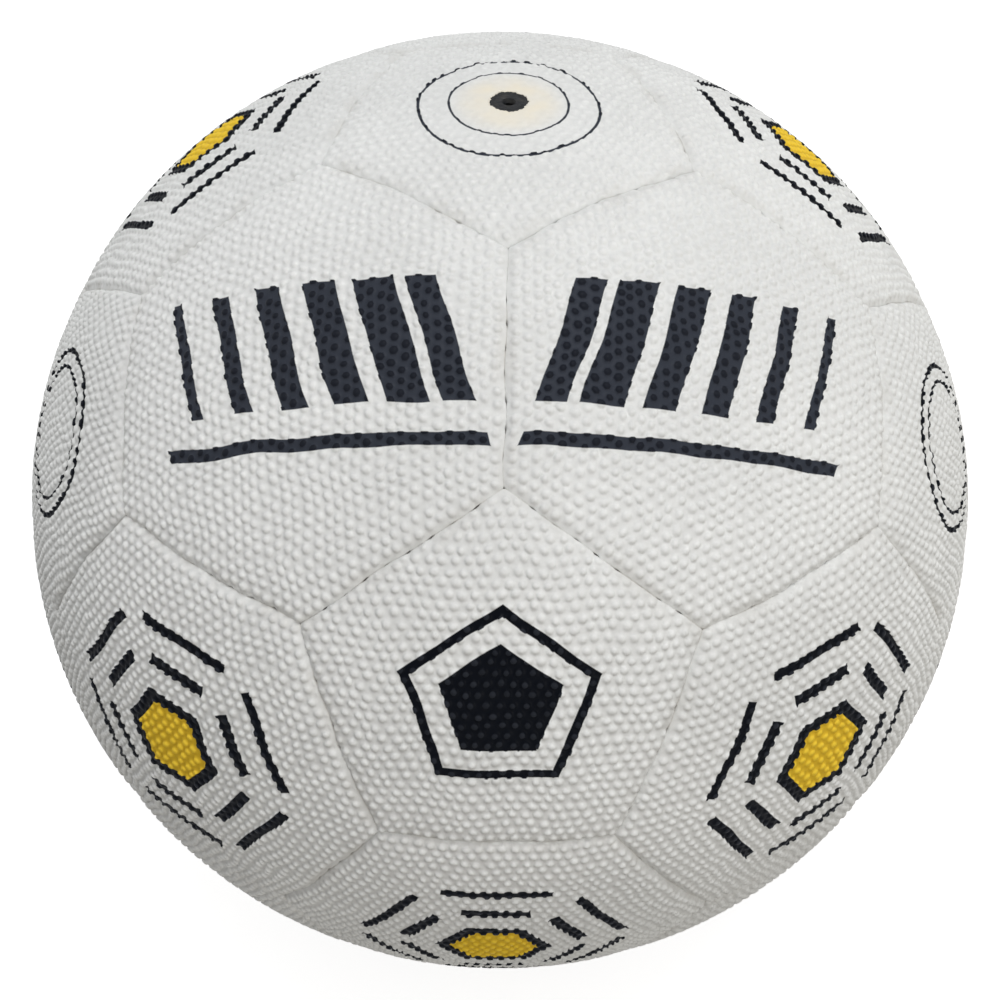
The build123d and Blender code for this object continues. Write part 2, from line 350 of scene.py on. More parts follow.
def plan_of(directions):
    """Flat plan of directions about +Z, which keeps areas as a sheet of rubber does."""
    return directions[:, :2] * BALL_RADIUS * np.sqrt(2 / (1 + directions[:, 2:]))


def direction_of(plan):
    """Directions from a flat plan."""
    share = plan / BALL_RADIUS
    square = (share**2).sum(1, keepdims=True)
    return np.hstack([share * np.sqrt(1 - square / 4), 1 - square / 2])


def seam_room(directions, sides, corner_round):
    """Distance along the ball from each direction to the nearest seam, round at the corners."""
    to_edges = BALL_RADIUS * np.arcsin(np.clip(directions @ edge_normals(sides).T, -1, 1))
    nearest = np.sort(to_edges, axis=1)[:, :2]
    short = np.clip(corner_round - nearest, 0, None)
    rounded = corner_round - np.hypot(short[:, 0], short[:, 1])
    return np.where(nearest[:, 0] >= corner_round, nearest[:, 0], rounded)


def spoke(polar, azimuths):
    """Unit vectors at these angles in radians."""
    return np.column_stack(
        [np.sin(polar) * np.cos(azimuths), np.sin(polar) * np.sin(azimuths), np.cos(polar)]
    )


def polar_at_room(room, azimuths, sides, corner_round):
    """Angles from the panel's middle at which each azimuth has this much room to the seam."""
    low = np.zeros(len(azimuths))
    high = np.full(len(azimuths), edge_tilt(sides)[1])
    for _ in range(BISECTIONS):
        middle = (low + high) / 2
        inside = seam_room(spoke(middle, azimuths), sides, corner_round) > room
        low = np.where(inside, middle, low)
        high = np.where(inside, high, middle)
    return low


def smooth(low, high, values):
    """Zero below low, one above high, with a soft step between."""
    t = np.clip((values - low) / (high - low), 0, 1)
    return t * t * (3 - 2 * t)


def wander(along, waves):
    """Sum of some waves, each with its share, its run along the axes and its start, from -1 to 1."""
    total = sum(share for share, _, _ in waves)
    return sum(share * np.sin(along @ np.array(run) + start) for share, run, start in waves) / total


class Ring(NamedTuple):
    """A ring of points around a panel, with its plan for the faces above and below it."""

    directions: np.ndarray
    drop: float
    stitched: float
    above: np.ndarray
    below: np.ndarray
    inside_below: bool


class PanelShape:
    """Points, faces and plan of a panel, before its pimples and stitches, about +Z."""

    def __init__(self, sides, sizes, hole=False):
        self.sides = sides
        self.sizes = sizes
        self.hole = hole
        self.step = sizes.pimple_pitch / sizes.pimple_steps
        self.rings = []
        self.set_outline()
        self.add_edge_rings()
        self.add_inside_rings()
        self.set_points()
        self.set_faces()

    def set_outline(self):
        """Azimuths of the points around the panel, evenly along its edges."""
        tilt = edge_tilt(self.sides)[0]
        count = round(2 * EDGE_HALF_ANGLE * BALL_RADIUS / self.step)
        along = (np.arange(count) + 0.5) / count * 2 * EDGE_HALF_ANGLE - EDGE_HALF_ANGLE
        azimuths = []
        for a in edge_azimuths(self.sides):
            middle = spoke(np.array([tilt]), np.array([a]))[0]
            sideways = np.array([-math.sin(a), math.cos(a), 0])
            points = np.outer(np.cos(along), middle) + np.outer(np.sin(along), sideways)
            azimuths.append(np.arctan2(points[:, 1], points[:, 0]))
        self.azimuths = np.concatenate(azimuths)

    def add_ring(self, polar, drop, stitched=0.0, plan_polar=None, inside=False, inside_below=False):
        """A ring of points around the panel, and its plan for the faces above and below it."""
        plan = plan_of(spoke(polar if plan_polar is None else plan_polar, self.azimuths))
        inner_plan = INSIDE_PLACE + INSIDE_SCALE * plan
        above = inner_plan if inside else plan
        below = inner_plan if inside_below else plan
        self.rings.append(Ring(spoke(polar, self.azimuths), drop, stitched, above, below, inside_below))

    def add_edge_rings(self):
        """Rings over the rounded edge and down the rim to its end."""
        z = self.sizes
        for room in EDGE_ROOMS:
            polar = polar_at_room(z.seam_gap + room * MM, self.azimuths, self.sides, z.corner_round)
            self.add_ring(polar, 0.0, 1 - room / (EDGE_ROOMS[0] + EDGE_ROOMS[-2]))
        edge = z.groove_depth + z.pillow_drop
        for share in RIM_SHARES:
            depth = (z.rim_depth - edge) * share
            out = polar + depth / BALL_RADIUS
            self.add_ring(polar, edge + depth, 1 - share, out)
        self.rim_polar = polar - z.cover_thickness / BALL_RADIUS
        self.rim_plan_polar = out + z.cover_thickness / BALL_RADIUS

    def add_inside_rings(self):
        """Rings over the rim's end and the inside, to the middle or out through the valve's hole."""
        z = self.sizes
        rim = self.rim_polar
        self.add_ring(rim, z.rim_depth, 0.0, self.rim_plan_polar, inside_below=True)
        hole = z.valve_hole + HOLE_LIP if self.hole else 2 * self.step
        for share in INSIDE_SHARES:
            polar = hole / BALL_RADIUS * (1 - share) + rim * share
            last = self.hole and share == 0
            self.add_ring(polar, z.cover_thickness, inside=True, inside_below=not last)
        if self.hole:
            a = self.azimuths
            waver = sum(share * np.sin(count * a + start) for count, start, share in HOLE_WAVES)
            ragged = z.valve_hole + z.valve_hole_waver * waver
            for out, drop, plan_out in HOLE_RINGS:
                polar, plan_polar = ((ragged + away * MM) / BALL_RADIUS for away in (out, plan_out))
                self.add_ring(polar, drop * MM, 0.0, plan_polar)

    def grid(self):
        """A triangular grid over the panel, with points on the middles of the pimples."""
        z = self.sizes
        most = math.ceil(2 * PLAN_HALF / self.step)
        reach = np.arange(-most, most + 1)
        i, j = (c.ravel() for c in np.meshgrid(reach, reach))
        points = np.column_stack([(i + j / 2) * self.step, j * math.sqrt(3) / 2 * self.step])
        points = points[np.linalg.norm(points, axis=1) < PLAN_HALF]
        room = seam_room(direction_of(points), self.sides, z.corner_round)
        keep = room > z.seam_gap + EDGE_ROOMS[0] * MM + GRID_MARGIN * self.step
        if self.hole:
            keep &= np.linalg.norm(points, axis=1) > z.valve_hole + z.valve_hole_waver + HOLE_MARGIN
        return points[keep]

    def set_points(self):
        """All points: the rings, then the inside's middle where there is no hole, then the grid."""
        grid = self.grid()
        count = len(self.azimuths)
        middle = np.empty((0, 3)) if self.hole else np.array([[0.0, 0.0, 1.0]])
        self.ring_points = count * len(self.rings)
        self.grid_start = self.ring_points + len(middle)
        self.directions = np.vstack([r.directions for r in self.rings] + [middle, direction_of(grid)])
        rest = np.zeros(len(self.directions) - self.ring_points)
        self.drop = np.concatenate([np.full(count, r.drop) for r in self.rings] + [rest])
        self.stitched = np.concatenate([np.full(count, r.stitched) for r in self.rings] + [rest])
        if not self.hole:
            self.drop[self.ring_points] = self.rings[-1].drop
        self.plan = plan_of(self.directions)
        self.on_top = np.zeros(len(self.directions), bool)
        self.on_top[: count * len(EDGE_ROOMS)] = True
        self.on_top[self.grid_start :] = True

    def set_faces(self):
        """Faces between the rings and over the grid, with each corner's place in the map."""
        count = len(self.azimuths)
        around = np.arange(count)
        after = np.roll(around, -1)
        faces, corners, inside = [], [], []
        for i, (upper, lower) in enumerate(zip(self.rings, self.rings[1:])):
            here, there = i * count, (i + 1) * count
            faces.append(np.column_stack([here + around, there + around, there + after, here + after]))
            above, below = upper.below, lower.above
            corners.append(np.stack([above, below, below[after], above[after]], axis=1).reshape(-1, 2))
            inside.append(np.full(4 * count, upper.inside_below))
        if not self.hole:
            middle = np.full(count, self.ring_points)
            last = self.ring_points - count
            faces.append(np.column_stack([last + around, middle, last + after]))
            below = self.rings[-1].below
            tip = np.broadcast_to(INSIDE_PLACE, below.shape)
            corners.append(np.stack([below, tip, below[after]], axis=1).reshape(-1, 2))
            inside.append(np.full(3 * count, True))
        self.triangles = self.top_triangles()
        self.faces = [f for block in faces for f in block.tolist()] + self.triangles.tolist()
        self.corners = np.vstack(corners)
        self.inside = np.concatenate(inside)

    def top_triangles(self):
        """Triangles over the grid, inside the panel's edge and outside the valve's hole."""
        count = len(self.azimuths)
        loops = [np.arange(count)]
        if self.hole:
            loops.append(np.arange(self.ring_points - count, self.ring_points))
        chosen = np.concatenate(loops + [np.arange(self.grid_start, len(self.plan))])
        points = self.plan[chosen]
        starts = count * np.arange(len(loops))
        edges = [(k + i, k + (i + 1) % count) for k in starts.tolist() for i in range(count)]
        made = delaunay_2d_cdt([Vector(p) for p in (points / MM).tolist()], edges, [], 1, 1e-6)
        faces = np.array([[made[3][v][0] for v in face] for face in made[2]])
        if self.hole:
            middles = points[faces].mean(1)
            edge = points[count : 2 * count]
            edge_reach = np.interp(
                np.arctan2(middles[:, 1], middles[:, 0]),
                np.arctan2(edge[:, 1], edge[:, 0]),
                np.linalg.norm(edge, axis=1),
                period=2 * math.pi,
            )
            faces = faces[np.linalg.norm(middles, axis=1) > edge_reach]
        return chosen[faces]


def pimple_numbers(plan, pitch):
    """Which pimple of the rows is nearest to each point, as two whole numbers."""
    row = plan[:, 1] / (pitch * math.sqrt(3) / 2)
    column = plan[:, 0] / pitch - row / 2
    third = -row - column
    cube = np.column_stack([column, row, third])
    whole = np.round(cube)
    error = np.abs(whole - cube)
    worst = error.argmax(1)
    rest = -(whole.sum(1) - whole[np.arange(len(whole)), worst])
    whole[np.arange(len(whole)), worst] = rest
    return whole[:, :2]


def row_waver(plan, sizes, rng):
    """How far the rows of pimples wander over a panel."""
    along = plan * 2 * math.pi / sizes.row_waver_length
    starts = rng.uniform(0, 2 * math.pi, (len(ROW_WAVES), len(ROW_WAVES[0])))
    moves = [
        wander(along, [(*wave, start) for wave, start in zip(waves, row)])
        for waves, row in zip(ROW_WAVES, starts)
    ]
    return sizes.row_waver * np.column_stack(moves)


def pimples(points, drawn, sizes, rng):
    """Draws the points of a grid together into pimples, by a share, and gives their heights from 0 to 1."""
    pitch = sizes.pimple_pitch
    numbers, owner = np.unique(pimple_numbers(points, pitch), axis=0, return_inverse=True)
    owner = owner.ravel()
    middles = np.column_stack(
        [(numbers[:, 0] + numbers[:, 1] / 2) * pitch, numbers[:, 1] * pitch * math.sqrt(3) / 2]
    )
    shift = rng.uniform(-1, 1, middles.shape) * sizes.pimple_jitter
    radius = sizes.pimple_diameter / 2 * rng.uniform(*PIMPLE_WIDTHS, len(middles))
    height = rng.uniform(*PIMPLE_HEIGHTS, len(middles))
    spare = PIMPLE_ROOM * pitch / 2 - radius
    shift *= np.minimum(1, spare / np.maximum(np.linalg.norm(shift, axis=1), 1e-9))[:, None]
    away = points - middles[owner]
    distance = np.maximum(np.linalg.norm(away, axis=1), 1e-9)
    foot = PIMPLE_GRID[-1] * pitch
    outside = np.clip((distance - foot) / (pitch / 2 - foot), 0, 1)
    reach = radius[owner] * np.interp(distance / pitch, PIMPLE_GRID, PIMPLE_REACH)
    reach += outside * np.maximum(distance, pitch / 2) - outside * radius[owner]
    moved = middles[owner] + away * (reach / distance)[:, None] + shift[owner] * (1 - outside)[:, None]
    placed = points + (moved - points) * drawn[:, None]
    from_top = np.linalg.norm(placed - (middles + shift)[owner], axis=1) / radius[owner]
    return placed, height[owner] * np.interp(from_top, PIMPLE_REACH, PIMPLE_HEIGHT)


def stitch_strength(shape, axes):
    """How strongly the nearest stitch draws in each point, from 0 to 1, and which seam is nearest."""
    z = shape.sizes
    nearest = np.argmin(shape.directions @ edge_normals(shape.sides).T, axis=1)
    a = edge_azimuths(shape.sides)[nearest]
    middle = spoke(np.full(len(a), edge_tilt(shape.sides)[0]), a)
    sideways = np.column_stack([-np.sin(a), np.cos(a), np.zeros(len(a))])
    across = (shape.directions * sideways).sum(1)
    along = BALL_RADIUS * np.arctan2(across, (shape.directions * middle).sum(1))
    reach = EDGE_HALF_ANGLE * BALL_RADIUS - z.stitch_end_margin
    pitch = 2 * reach / (z.stitches - 1)
    place = np.clip(np.round((along + reach) / pitch), 0, z.stitches - 1) * pitch - reach
    angle = (place / BALL_RADIUS)[:, None]
    stitch = (middle * np.cos(angle) + sideways * np.sin(angle)) @ axes.T
    uneven = 0.5 + 0.5 * np.sin(stitch @ np.array(STITCH_UNEVENNESS))
    most = STITCH_LEAST + (1 - STITCH_LEAST) * uneven
    pull = most * np.exp(-(((along - place - z.stitch_slant) / z.stitch_mark) ** 2))
    return pull, nearest


def hand_sewn(directions, sizes):
    """Directions moved a little, as uneven sewing does, alike on both sides of a seam."""
    along = directions * 2 * math.pi * BALL_RADIUS / sizes.seam_waver_length
    drift = np.column_stack([wander(along, waves) for waves in SEAM_WAVES])
    from_valve = BALL_RADIUS * np.arccos(np.clip(directions[:, 2:], -1, 1))
    drift *= smooth(sizes.valve_hole, 4 * sizes.valve_hole, from_valve)
    moved = directions + drift * sizes.seam_waver / BALL_RADIUS
    return moved / np.linalg.norm(moved, axis=1, keepdims=True)


def panel_mesh(name, shape, axes, seed, turn):
    """A panel's mesh in the ball's frame, with its pimples and stitches, its print turned by an angle."""
    z = shape.sizes
    rng = np.random.default_rng(RANDOM_SEED + seed)
    room = seam_room(shape.directions, shape.sides, z.corner_round)
    from_middle = np.linalg.norm(shape.plan, axis=1)
    field = slice(shape.grid_start, None)
    wandering = smooth(*WANDER_ROOM, room)
    drawn = smooth(*ROUND_ROOM, room)
    raised = smooth(*RISE_ROOM, room)
    if shape.hole:
        from_hole = from_middle - z.valve_hole - VALVE_MARGIN
        wandering *= smooth(*VALVE_WANDER, from_middle)
        drawn *= smooth(*VALVE_ROUND, from_hole)
        raised *= smooth(*VALVE_RISE, from_hole)
        raised *= WORN_SHARE + (1 - WORN_SHARE) * smooth(*VALVE_WORN, from_middle)
    drawn[: shape.grid_start] = 0
    plan, domes = pimples(shape.plan, drawn, z, rng)
    plan += row_waver(shape.plan, z, rng) * wandering[:, None]
    domes *= raised * shape.on_top
    directions = shape.directions.copy()
    directions[field] = direction_of(plan[field])
    strength, nearest = stitch_strength(shape, axes)
    inward = edge_normals(shape.sides)[nearest]
    directions += inward * (strength * shape.stitched * z.stitch_gap / BALL_RADIUS)[:, None]
    directions /= np.linalg.norm(directions, axis=1, keepdims=True)
    pucker = z.stitch_dip * strength * np.exp(-np.clip(room, 0, None) / z.stitch_reach)
    pillow = z.pillow_drop * np.exp(-np.clip(room, 0, None) / z.pillow_width)
    mean, swing = SEAM_TIGHTNESS
    tight = mean + swing * np.sin(shape.directions @ axes.T @ np.array(SEAM_UNEVENNESS))
    groove = z.groove_depth * tight * np.clip(1 - room / z.groove_width, 0, 1) ** 2
    lift = z.pimple_height * (domes - PIMPLE_SINK) - pillow - groove - pucker
    radius = BALL_RADIUS - shape.drop + np.where(shape.on_top, lift, 0)
    directions = hand_sewn(directions @ axes.T, z)
    points = directions * radius[:, None]
    turned = np.array([[math.cos(turn), -math.sin(turn)], [math.sin(turn), math.cos(turn)]])
    corners = np.vstack([shape.corners, plan[shape.triangles].reshape(-1, 2)])
    outside = np.append(~shape.inside, np.full(shape.triangles.size, True))
    corners[outside] = corners[outside] @ turned
    mesh = bpy.data.meshes.new(name)
    mesh.from_pydata(points.tolist(), [], shape.faces)
    mesh.uv_layers.new(name=BAKE_MAP).data.foreach_set("uv", (0.5 + corners / (2 * PLAN_HALF)).ravel())
    set_values(mesh, "pimple", "FLOAT", "value", domes)
    set_values(mesh, "seam_room", "FLOAT", "value", np.where(shape.drop > 0, 0, room / MM))
    flat = np.column_stack([plan @ turned / MM, np.zeros(len(plan))])
    set_values(mesh, "plan", "FLOAT_VECTOR", "vector", flat)
    mesh.shade_smooth()
    return mesh


def set_values(mesh, name, kind, field, values):
    """Stores a value for each point of a mesh."""
    layer = mesh.attributes.new(name, kind, "POINT")
    layer.data.foreach_set(field, np.ascontiguousarray(values, dtype=np.float32).ravel())


# Nodes


def node(tree, kind, inputs=None, **settings):
    """A new shader node, with inputs by name or number given as sockets or values."""
    made = tree.nodes.new(kind)
    for key, value in settings.items():
        setattr(made, key, value)
    for key, value in (inputs or {}).items():
        if isinstance(value, bpy.types.NodeSocket):
            tree.links.new(value, made.inputs[key])
        else:
            made.inputs[key].default_value = value
    return made


def maths(tree, operation, *values):
    """The result of a sum."""
    return node(tree, "ShaderNodeMath", dict(enumerate(values)), operation=operation).outputs[0]


def step(tree, value, low, high, start=0.0, end=1.0):
    """A soft step from start to end as a value goes from low to high."""
    inputs = dict(enumerate((value, low, high, start, end)))
    return node(tree, "ShaderNodeMapRange", inputs, interpolation_type="SMOOTHSTEP").outputs[0]


def blend(tree, share, first, second, way="MIX"):
    """Two colours mixed."""
    inputs = {0: share, 6: first, 7: second}
    return node(tree, "ShaderNodeMix", inputs, data_type="RGBA", blend_type=way).outputs[2]


def noise(tree, scale, detail=2.0, where=None):
    """Noise over the piece, with this many lumps in a metre."""
    where = where or node(tree, "ShaderNodeTexCoord").outputs["Object"]
    return node(tree, "ShaderNodeTexNoise", {"Vector": where, "Scale": scale, "Detail": detail}).outputs[0]


def value_of(tree, name):
    """A value that is stored at the mesh's points."""
    return node(tree, "ShaderNodeAttribute", attribute_name=name).outputs["Fac"]


def paint(values):
    """A colour with full opacity."""
    return (*values, 1.0)


def new_group(name, inputs, outputs):
    """An empty node group, with the nodes for its inputs and outputs."""
    tree = bpy.data.node_groups.new(name, "ShaderNodeTree")
    for key in inputs:
        tree.interface.new_socket(key, in_out="INPUT", socket_type=inputs[key])
    for key in outputs:
        tree.interface.new_socket(key, in_out="OUTPUT", socket_type=outputs[key])
    return tree, tree.nodes.new("NodeGroupInput").outputs, tree.nodes.new("NodeGroupOutput").inputs


def group(tree, shared, inputs=None):
    """A shared group used in a tree."""
    return node(tree, "ShaderNodeGroup", inputs, node_tree=shared).outputs


def new_material(name, **constants):
    """A material with a bare shader, and the inputs that stay constant set on it."""
    made = bpy.data.materials.new(name)
    made.use_nodes = True
    tree = made.node_tree
    shader = tree.nodes["Principled BSDF"]
    for key, value in constants.items():
        shader.inputs[key.replace("_", " ").title().replace("Ior", "IOR")].default_value = value
    return made, tree, shader


def finish(tree, shader, colour, roughness, height, strength, distance):
    """Links what varies into the shader, the height as bumps."""
    bump = node(tree, "ShaderNodeBump", {"Height": height, "Strength": strength, "Distance": distance})
    tree.links.new(colour, shader.inputs["Base Color"])
    tree.links.new(roughness, shader.inputs["Roughness"])
    tree.links.new(bump.outputs[0], shader.inputs["Normal"])


def rubber_group(colours):
    """Worn pale rubber: its colour, lighter on the pimples' tops and darker between them as painted light and
    shade, its roughness and grain.
    """
    if "Pale rubber" in bpy.data.node_groups:
        return bpy.data.node_groups["Pale rubber"]
    number = "NodeSocketFloat"
    outputs = {"Colour": "NodeSocketColor", "Roughness": number, "Grain": number}
    tree, _, out = new_group("Pale rubber", {}, outputs)
    link = tree.links.new
    # Painted light and shade: lighter rubber on the pimples' tops, darker between them
    painted_light_tops = step(tree, value_of(tree, "pimple"), 0.1, 0.7)
    base = blend(tree, painted_light_tops, paint(colours.shaded_valley), paint(colours.rubber))
    cloud = step(tree, noise(tree, 28.0, 3.0), 0.3, 0.7, 0.94, 1.0)
    speck = step(tree, noise(tree, 700.0, 2.0), 0.3, 0.75, 0.95, 1.03)
    shade = maths(tree, "MULTIPLY", cloud, speck)
    grey = node(tree, "ShaderNodeCombineColor", {0: shade, 1: shade, 2: shade}).outputs[0]
    base = blend(tree, 1.0, base, grey, "MULTIPLY")
    room = value_of(tree, "seam_room")
    patches = step(tree, noise(tree, 140.0, 3.0), 0.38, 0.62)
    near = step(tree, room, 0.0, 0.3, 1.0, 0.0)
    line = maths(tree, "MULTIPLY", near, maths(tree, "MULTIPLY_ADD", patches, 0.3, 0.02))
    wide = maths(tree, "MULTIPLY", step(tree, room, 0.2, 3.5, 0.12, 0.0), patches)
    base = blend(tree, maths(tree, "MAXIMUM", line, wide), base, paint(colours.dirt))
    link(base, out["Colour"])
    link(maths(tree, "MULTIPLY_ADD", noise(tree, 300.0), 0.16, 0.52), out["Roughness"])
    link(noise(tree, 2600.0, 3.0), out["Grain"])
    return tree


def print_group():
    """How much ink lies at a distance from a printed shape's edge, which follows the pimples."""
    if "Printed edge" in bpy.data.node_groups:
        return bpy.data.node_groups["Printed edge"]
    number = "NodeSocketFloat"
    tree, into, out = new_group("Printed edge", {"Distance": number, "Waver": number}, {"Ink": number})
    low = maths(tree, "SUBTRACT", 0.45, value_of(tree, "pimple"))
    lumps = maths(tree, "MULTIPLY_ADD", noise(tree, 420.0, 2.0), 1.4, -0.7)
    rough = maths(tree, "MULTIPLY", maths(tree, "ADD", low, lumps), into["Waver"])
    edge = maths(tree, "ADD", into["Distance"], rough)
    ink = step(tree, edge, -0.1, 0.1, 1.0, 0.0)
    tree.links.new(ink, out["Ink"])
    return tree


# Printed marks, as distances in millimetres from their edges, below zero inside


def plan_axes(tree):
    """The two axes of a panel's plan in millimetres."""
    flat = node(tree, "ShaderNodeAttribute", attribute_name="plan").outputs["Vector"]
    axes = node(tree, "ShaderNodeSeparateXYZ", {0: flat}).outputs
    return axes[0], axes[1]


def band(tree, value, middle, half):
    """Distance from a band of values."""
    return maths(tree, "SUBTRACT", maths(tree, "ABSOLUTE", maths(tree, "SUBTRACT", value, middle)), half)


def largest(tree, *values):
    """The largest of some values, which is where shapes overlap."""
    result = values[0]
    for value in values[1:]:
        result = maths(tree, "MAXIMUM", result, value)
    return result


def least(tree, *values):
    """The least of some values, which joins shapes."""
    result = values[0]
    for value in values[1:]:
        result = maths(tree, "MINIMUM", result, value)
    return result


def polygon(tree, x, y, sides):
    """Distances from the plan's middle towards each side of an even polygon, one side towards +Y."""
    found = []
    for a in edge_azimuths(sides):
        across = maths(tree, "MULTIPLY", x, math.cos(a))
        found.append(maths(tree, "MULTIPLY_ADD", y, math.sin(a), across))
    return found


def bars_mark(tree, side):
    """A row of slanted bars that thin out away from the seam, over a line."""
    x, y = plan_axes(tree)
    along = maths(tree, "MULTIPLY_ADD", y, -BAR_SLANT, maths(tree, "MULTIPLY", x, side))
    in_pitch = maths(tree, "PINGPONG", along, BAR_PITCH / 2)
    half = maths(tree, "MULTIPLY_ADD", along, -BAR_TAPER, BAR_HALF_WIDTH)
    bars = maths(tree, "SUBTRACT", in_pitch, half)
    ends = band(tree, along, *BAR_ENDS)
    row = largest(tree, bars, band(tree, y, *BAR_ROW), ends)
    line = largest(tree, band(tree, y, *BAR_LINE), ends)
    return least(tree, row, line), None, PRINT_WAVER


def hexagons_mark(tree):
    """A yellow hexagon with a black outline inside two broken hexagons."""
    x, y = plan_axes(tree)
    sides = [maths(tree, "ABSOLUTE", s) for s in polygon(tree, x, y, 6)[:3]]
    out = largest(tree, *sides)
    low = maths(tree, "MULTIPLY", least(tree, *sides), -1.0)
    slant = maths(tree, "MULTIPLY_ADD", out, 0.5, low)
    along = maths(tree, "MULTIPLY", slant, ALONG_PER_SLANT)
    strokes = [
        largest(tree, band(tree, out, *place), maths(tree, "SUBTRACT", along, half_length))
        for place, half_length in HEXAGON_STROKES
    ]
    black = least(tree, band(tree, out, *HEXAGON_OUTLINE), *strokes)
    return black, maths(tree, "SUBTRACT", out, HEXAGON_YELLOW), PRINT_WAVER


def pentagon_mark(tree):
    """A black pentagon inside the outline of another."""
    x, y = plan_axes(tree)
    out = largest(tree, *polygon(tree, x, y, 5))
    solid = maths(tree, "SUBTRACT", out, PENTAGON_SOLID)
    return least(tree, solid, band(tree, out, *PENTAGON_OUTLINE)), None, PRINT_WAVER


def reach(tree):
    """Distance from the plan's middle."""
    x, y = plan_axes(tree)
    square = maths(tree, "MULTIPLY_ADD", x, x, maths(tree, "MULTIPLY", y, y))
    return maths(tree, "SQRT", square)


def rings_mark(tree):
    """Two thin rings."""
    out = reach(tree)
    return least(tree, *[band(tree, out, *place) for place in RINGS]), None, RING_WAVER


def valve_mark(tree):
    """Two thin rings around the valve."""
    out = reach(tree)
    return least(tree, *[band(tree, out, *place) for place in VALVE_RINGS]), None, PRINT_WAVER


# Marks in faded ink, with a painted sheen: lighter between the pimples and darker on them
FADED_SHEEN_MARKS = (bars_mark, valve_mark)


def cover_material(name, colours, mark=None, *details):
    """Pale rubber with a printed mark, its inks carrying painted light and shade on the pimples."""
    if name in bpy.data.materials:
        return bpy.data.materials[name]
    made, tree, shader = new_material(name, specular_ior_level=0.03, coat_roughness=0.35)
    rubber = group(tree, rubber_group(colours))
    base, roughness = rubber["Colour"], rubber["Roughness"]
    pimple = value_of(tree, "pimple")
    painted_light_tops = step(tree, pimple, 0.05, 0.6)
    if mark is valve_mark:
        worn = step(tree, noise(tree, 170.0, 2.0), 0.3, 0.7, 0.5, 0.9)
        near = step(tree, reach(tree), 5.5, 12.5, 1.0, 0.0)
        base = blend(tree, maths(tree, "MULTIPLY", worn, near), base, paint(colours.stain))
    if mark:
        black, yellow, waver = mark(tree, *details)
        edge = print_group()
        if yellow is not None:
            ink = group(tree, edge, {"Distance": yellow, "Waver": waver})["Ink"]
            # Painted shade: the yellow is darker between the pimples than on their tops
            tone = blend(tree, painted_light_tops, paint(colours.shaded_yellow_valley), paint(colours.yellow))
            base = blend(tree, ink, base, tone)
        ink = group(tree, edge, {"Distance": black, "Waver": waver})["Ink"]
        if mark in FADED_SHEEN_MARKS:
            # Faded ink with a painted sheen: lighter between the pimples, darker on them
            tone = blend(tree, painted_light_tops, paint(colours.faded_valley_with_sheen), paint(colours.faded_ink_with_sheen))
        else:
            # Painted highlight: the black ink is lighter on the pimples' crowns
            highlight_crowns = step(tree, pimple, 0.4, 1.05)
            tone = blend(tree, highlight_crowns, paint(colours.ink_valley), paint(colours.ink))
        base = blend(tree, ink, base, tone)
        tree.links.new(maths(tree, "MULTIPLY", ink, PRINT_COAT), shader.inputs["Coat Weight"])
    finish(tree, shader, base, roughness, rubber["Grain"], 0.5, 0.06 * MM)
    return made


# What each panel carries


def panel_print(name):
    """A panel's material name, printed mark, the mark's details and the print's turn in degrees."""
    if name in BAR_PANELS:
        side, turn = BAR_PANELS[name]
        return ("bars_right" if side > 0 else "bars_left"), bars_mark, (side,), turn
    if name == "valve_pentagon":
        return "valve_rings", valve_mark, (), 0
    if name == "upper_pentagon_1":
        return "pentagon", pentagon_mark, (), 0
    if name in ("upper_pentagon_2", "upper_pentagon_5", "top_hexagon_3"):
        return "rings", rings_mark, (), 0
    if "hexagon" in name:
        return "hexagons", hexagons_mark, (), 0
    return "plain", None, (), 0


def build_panel(context, name, middle, shape, seed):
    """One pimpled panel in place of its plain cover."""
    material, mark, details, turn = panel_print(name)
    axes = panel_axes(middle, name.startswith("upper_pentagon"))
    piece_name = f"{name}_pimpled_cover"
    mesh = panel_mesh(piece_name, shape, axes, seed, math.radians(turn))
    mesh.materials.append(cover_material(f"{material}_rubber", context.scene.netball_colours, mark, *details))
    piece = bpy.data.objects.new(piece_name, mesh)
    context.scene.collection.objects.link(piece)
    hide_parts(f"{name}_cover")
    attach(piece, "ball")
    return piece


def dress(node_name, material):
    """Gives a solid its material."""
    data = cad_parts[node_name].data
    data.materials.clear()
    data.materials.append(material)


# Operators


class NETBALL_OT_hexagons(bpy.types.Operator):
    """Builds the twenty hexagon covers with their pimples and print"""

    bl_idname = "netball.hexagons"
    bl_label = "Hexagon covers"

    def execute(self, context):
        shape = PanelShape(6, context.scene.netball_sizes)
        for seed, (name, middle) in enumerate(panel_directions()[1].items()):
            build_panel(context, name, middle, shape, seed)
        return {"FINISHED"}


class NETBALL_OT_pentagons(bpy.types.Operator):
    """Builds the twelve pentagon covers with their pimples and print, one with the valve's hole"""

    bl_idname = "netball.pentagons"
    bl_label = "Pentagon covers"

    def execute(self, context):
        plain = PanelShape(5, context.scene.netball_sizes)
        holed = PanelShape(5, context.scene.netball_sizes, hole=True)
        for seed, (name, middle) in enumerate(panel_directions()[0].items()):
            shape = holed if name == "valve_pentagon" else plain
            build_panel(context, name, middle, shape, PENTAGON_SEED + seed)
        return {"FINISHED"}


